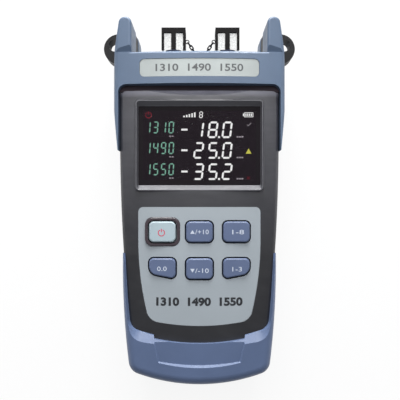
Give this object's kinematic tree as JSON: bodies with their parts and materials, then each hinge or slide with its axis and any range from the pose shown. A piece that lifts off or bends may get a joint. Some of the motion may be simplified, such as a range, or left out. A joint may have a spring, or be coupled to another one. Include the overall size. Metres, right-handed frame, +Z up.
{
  "type": "optical power meter",
  "caption": "Handheld optical power meter with display, rubber keypad, capped fibre inputs on chains between two guard horns, rubber boot and battery bay.",
  "frame": {"origin": "under the middle of the meter, on the surface that it lies on", "axes": "+Z up out of the face, +Y towards the optical inputs, +X to the right as the face is read"},
  "size_m": [0.1046, 0.1894, 0.047],
  "materials": {
    "shell_grey": "fine grained",
    "shell_black": "fine grained",
    "guard_blue": "satin",
    "strip_silver": "metallic print",
    "boot_rubber": "soft satin",
    "window_clear": "clear",
    "display_black": "glossy",
    "overlay_grey": "fine textured film",
    "ring_dark": "satin",
    "key_pale": "satin",
    "key_blue": "satin",
    "mat_rubber": "matte",
    "board_green": "solder mask",
    "receptacle_metal": "nickel plate",
    "sleeve_ceramic": "polished",
    "detector_metal": "machined",
    "cap_rubber": "satin",
    "chain_steel": "plated",
    "cell_jacket": "printed film",
    "contact_steel": "nickel plate",
    "screw_steel": "zinc plate"
  },
  "bodies": {
    "case": {"front_shell": "shell_grey", "rear_shell": "shell_black", "head_guard_front": "guard_blue", "head_guard_rear": "guard_blue", "name_strip": "strip_silver", "boot": "boot_rubber", "display_window": "window_clear", "display_module": "display_black", "keypad_overlay": "overlay_grey", "power_key_ring": "ring_dark", "key_mat": "mat_rubber", "main_board": "board_green", "receptacle_left": "receptacle_metal", "receptacle_right": "receptacle_metal", "nut_left": "receptacle_metal", "nut_right": "receptacle_metal", "sleeve_left": "sleeve_ceramic", "sleeve_right": "sleeve_ceramic", "detector_left": "detector_metal", "detector_right": "detector_metal", "chain_staple": "chain_steel", "chain_left": "chain_steel", "chain_right": "chain_steel", "cell_1": "cell_jacket", "cell_2": "cell_jacket", "cell_3": "cell_jacket", "contact_plates": "contact_steel", "contact_springs": "contact_steel", "case_screws": "screw_steel"},
    "power_key_body": {"power_key": "key_pale"},
    "up_key_body": {"up_key": "key_blue"},
    "set_key_body": {"set_key": "key_blue"},
    "left_key_body": {"left_key": "key_blue"},
    "down_key_body": {"down_key": "key_blue"},
    "right_key_body": {"right_key": "key_blue"},
    "cap_left_body": {"dust_cap_left": "cap_rubber"},
    "cap_right_body": {"dust_cap_right": "cap_rubber"},
    "door_body": {"battery_door": "shell_black"}
  },
  "joints": [
    {"name": "power_key_press", "type": "slide", "parent": "case", "child": "power_key_body", "axis": [0, 0, -1], "range_m": [0, 0.0008], "stiffness_N_per_m": 1500, "springref_m": -0.0003},
    {"name": "up_key_press", "type": "slide", "parent": "case", "child": "up_key_body", "axis": [0, 0, -1], "range_m": [0, 0.0008], "stiffness_N_per_m": 1500, "springref_m": -0.0003},
    {"name": "set_key_press", "type": "slide", "parent": "case", "child": "set_key_body", "axis": [0, 0, -1], "range_m": [0, 0.0008], "stiffness_N_per_m": 1500, "springref_m": -0.0003},
    {"name": "left_key_press", "type": "slide", "parent": "case", "child": "left_key_body", "axis": [0, 0, -1], "range_m": [0, 0.0008], "stiffness_N_per_m": 1500, "springref_m": -0.0003},
    {"name": "down_key_press", "type": "slide", "parent": "case", "child": "down_key_body", "axis": [0, 0, -1], "range_m": [0, 0.0008], "stiffness_N_per_m": 1500, "springref_m": -0.0003},
    {"name": "right_key_press", "type": "slide", "parent": "case", "child": "right_key_body", "axis": [0, 0, -1], "range_m": [0, 0.0008], "stiffness_N_per_m": 1500, "springref_m": -0.0003},
    {"name": "cap_left_lift", "type": "slide", "parent": "case", "child": "cap_left_body", "axis": [0, 1, 0], "range_m": [0, 0.012], "deforming": ["chain_left"]},
    {"name": "cap_right_lift", "type": "slide", "parent": "case", "child": "cap_right_body", "axis": [0, 1, 0], "range_m": [0, 0.012], "deforming": ["chain_right"]},
    {"name": "door_lift", "type": "slide", "parent": "case", "child": "door_body", "axis": [0, 0, -1], "range_m": [0, 0.015]}
  ]
}
